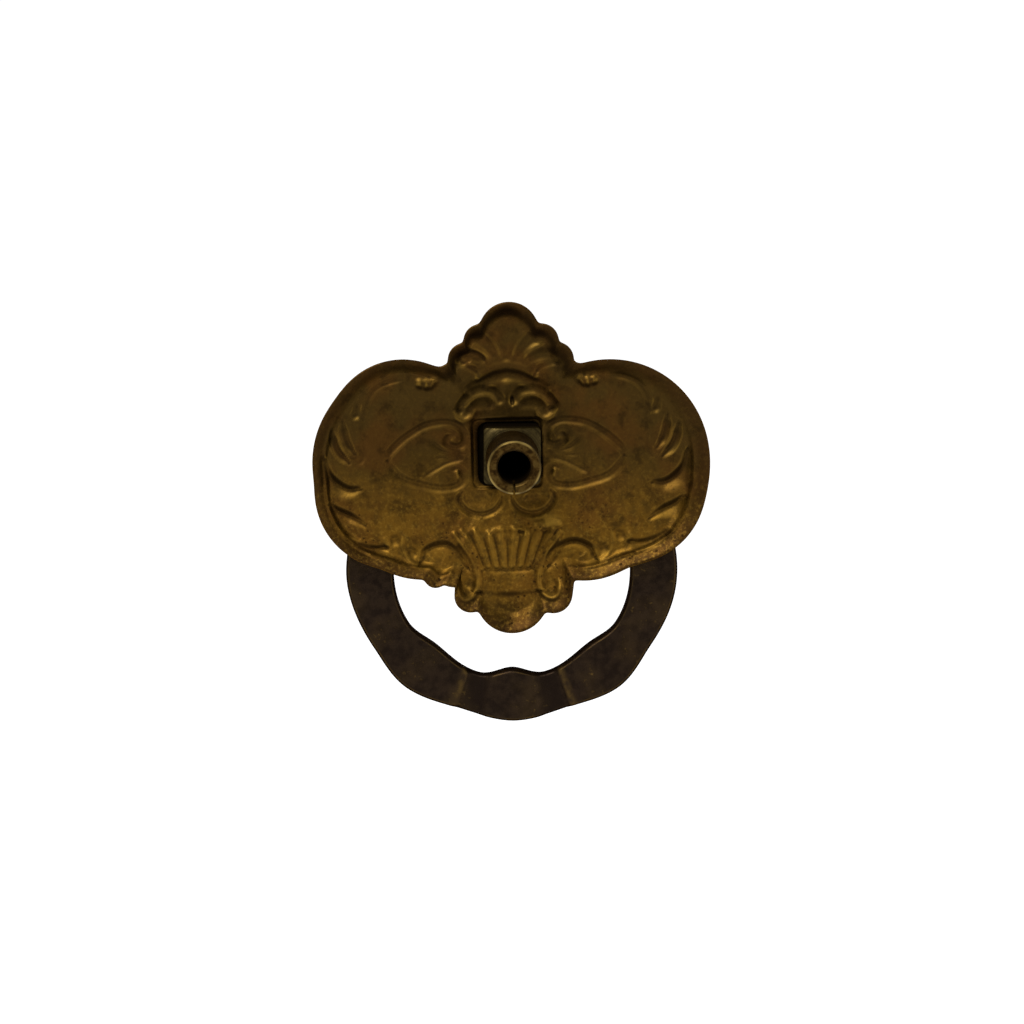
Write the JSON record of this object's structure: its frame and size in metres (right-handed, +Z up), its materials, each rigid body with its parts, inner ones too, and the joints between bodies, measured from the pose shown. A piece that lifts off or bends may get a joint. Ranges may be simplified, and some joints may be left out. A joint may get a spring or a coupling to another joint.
{
  "type": "drawer pull",
  "caption": "Old drawer pull: a dished, stamped brass backplate with scroll, leaf and shell ornament, a square post with a screw hole, and a lobed bail that hangs from it and swings.",
  "frame": {"origin": "on the post's axis, at the plane of the drawer's face", "axes": "+Z up as the pull hangs on a drawer, +Y into the drawer along the post, -Y towards the user, +X to the right seen from the front"},
  "size_m": [0.0764, 0.0334, 0.0831],
  "materials": {
    "sheet_brass": "stamped sheet brass, aged to olive brown with golden worn patches and small dark pits",
    "turned_brass": "drawn and turned brass, dulled to a greyish brown",
    "dark_cast_brass": "cast brass, darkened almost to black brown, with golden specks where it is worn"
  },
  "bodies": {
    "mount_body": {"backplate": "sheet_brass", "post": "turned_brass"},
    "bail": {"bail": "dark_cast_brass"}
  },
  "joints": [
    {"name": "bail_swing", "type": "hinge", "parent": "mount_body", "child": "bail", "pos_m": [0, -0.0094, 0], "axis": [-1, 0, 0], "range_deg": [-2, 170]}
  ]
}
